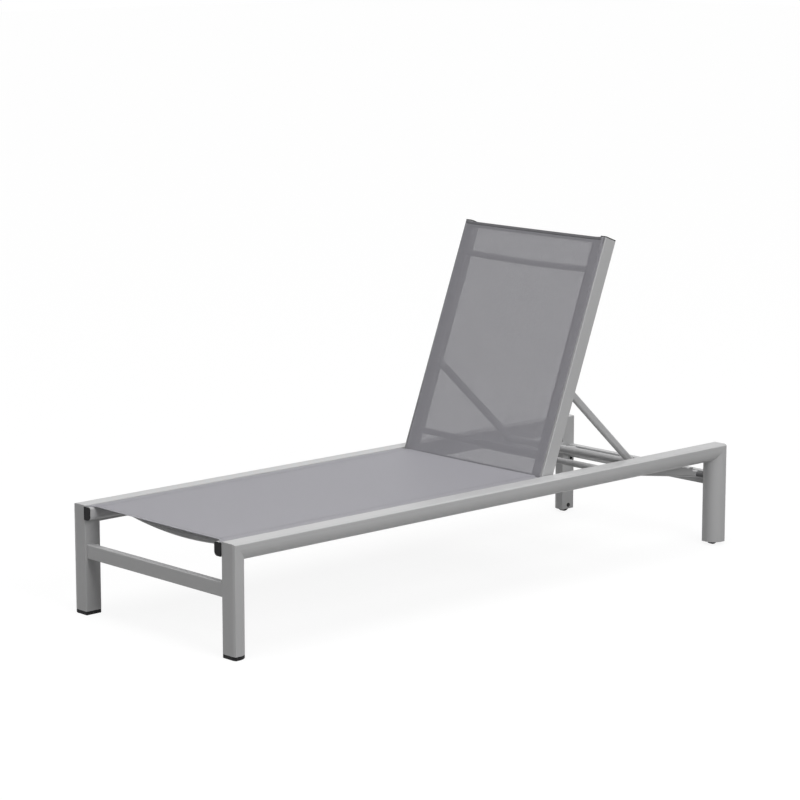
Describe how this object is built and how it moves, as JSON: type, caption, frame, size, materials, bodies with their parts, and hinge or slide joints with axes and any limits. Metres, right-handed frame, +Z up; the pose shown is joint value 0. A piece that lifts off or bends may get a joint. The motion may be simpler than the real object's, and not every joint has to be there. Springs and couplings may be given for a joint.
{
  "type": "sun lounger",
  "caption": "Free-standing sun lounger: coated aluminium tube frame, taut mesh slings, backrest that reclines on a stay in toothed racks, small wheels hidden in the rear legs.",
  "frame": {"origin": "on the ground, in the middle of the lounger's length and width", "axes": "+X from the foot end to the head end, +Y to the right of someone lying on it, +Z up"},
  "size_m": [1.968, 0.7, 0.9939],
  "materials": {
    "coated_aluminium": "light grey powder coat, satin, very fine texture",
    "sling_mesh": "grey woven mesh of coated yarn, matte",
    "black_plastic": "black moulded plastic, matte",
    "rod_plastic": "plain extruded plastic rod",
    "tyre_rubber": "black rubber, matte",
    "black_fasteners": "black coated steel, satin",
    "steel_fasteners": "bright steel"
  },
  "bodies": {
    "frame": {"side_rail_left": "coated_aluminium", "side_rail_right": "coated_aluminium", "front_leg_left": "coated_aluminium", "front_leg_right": "coated_aluminium", "rear_leg_left": "coated_aluminium", "rear_leg_right": "coated_aluminium", "front_foot_left": "black_plastic", "front_foot_right": "black_plastic", "front_stretcher": "coated_aluminium", "rear_stretcher": "coated_aluminium", "front_stretcher_bolts": "steel_fasteners", "rear_stretcher_bolts": "black_fasteners", "seat_rail_left": "coated_aluminium", "seat_rail_right": "coated_aluminium", "seat_rail_caps": "black_plastic", "seat_rail_screws": "steel_fasteners", "seat_sling": "sling_mesh", "seat_edge_rods": "rod_plastic", "seat_bow_bar_front": "coated_aluminium", "seat_bow_bar_middle": "coated_aluminium", "seat_bow_bar_rear": "coated_aluminium", "cross_tube": "coated_aluminium", "rack_arm_left": "coated_aluminium", "rack_arm_right": "coated_aluminium", "rack_strip_left": "coated_aluminium", "rack_strip_right": "coated_aluminium", "rack_bolts": "black_fasteners", "rack_sleeves": "black_plastic", "hinge_pin_left": "steel_fasteners", "hinge_pin_right": "steel_fasteners", "hinge_washers": "black_plastic", "wheel_axle_left": "black_fasteners", "wheel_axle_right": "black_fasteners"},
    "backrest": {"back_rail_left": "coated_aluminium", "back_rail_right": "coated_aluminium", "back_top_caps": "black_plastic", "back_bottom_caps": "black_plastic", "back_bow_bar_lower": "coated_aluminium", "back_bow_bar_upper": "coated_aluminium", "back_sling": "sling_mesh", "back_edge_rods": "rod_plastic", "stay_pins": "steel_fasteners", "stay_washers": "black_plastic"},
    "stay": {"stay_arm_left": "coated_aluminium", "stay_arm_right": "coated_aluminium", "stay_cross_tube": "coated_aluminium", "stay_tube_plugs": "black_plastic"},
    "wheel_left": {"wheel_tyre_left": "tyre_rubber", "wheel_hub_left": "black_plastic"},
    "wheel_right": {"wheel_tyre_right": "tyre_rubber", "wheel_hub_right": "black_plastic"}
  },
  "joints": [
    {"name": "backrest_hinge", "type": "hinge", "parent": "frame", "child": "backrest", "pos_m": [0.2406, 0, 0.293], "axis": [0, 1, 0], "range_deg": [0, 66.5]},
    {"name": "stay_pivot", "type": "hinge", "parent": "backrest", "child": "stay", "pos_m": [0.34596, 0, 0.56747], "axis": [0, 1, 0], "range_deg": [-101, 0]},
    {"name": "wheel_spin_left", "type": "hinge", "parent": "frame", "child": "wheel_left", "pos_m": [0.959, -0.318, 0.0225], "axis": [0, 1, 0], "continuous": true},
    {"name": "wheel_spin_right", "type": "hinge", "parent": "frame", "child": "wheel_right", "pos_m": [0.959, 0.318, 0.0225], "axis": [0, 1, 0], "continuous": true}
  ],
  "couplings": [
    {"joint": "stay_pivot", "follows": "backrest_hinge", "ratio": -1.5098}
  ]
}
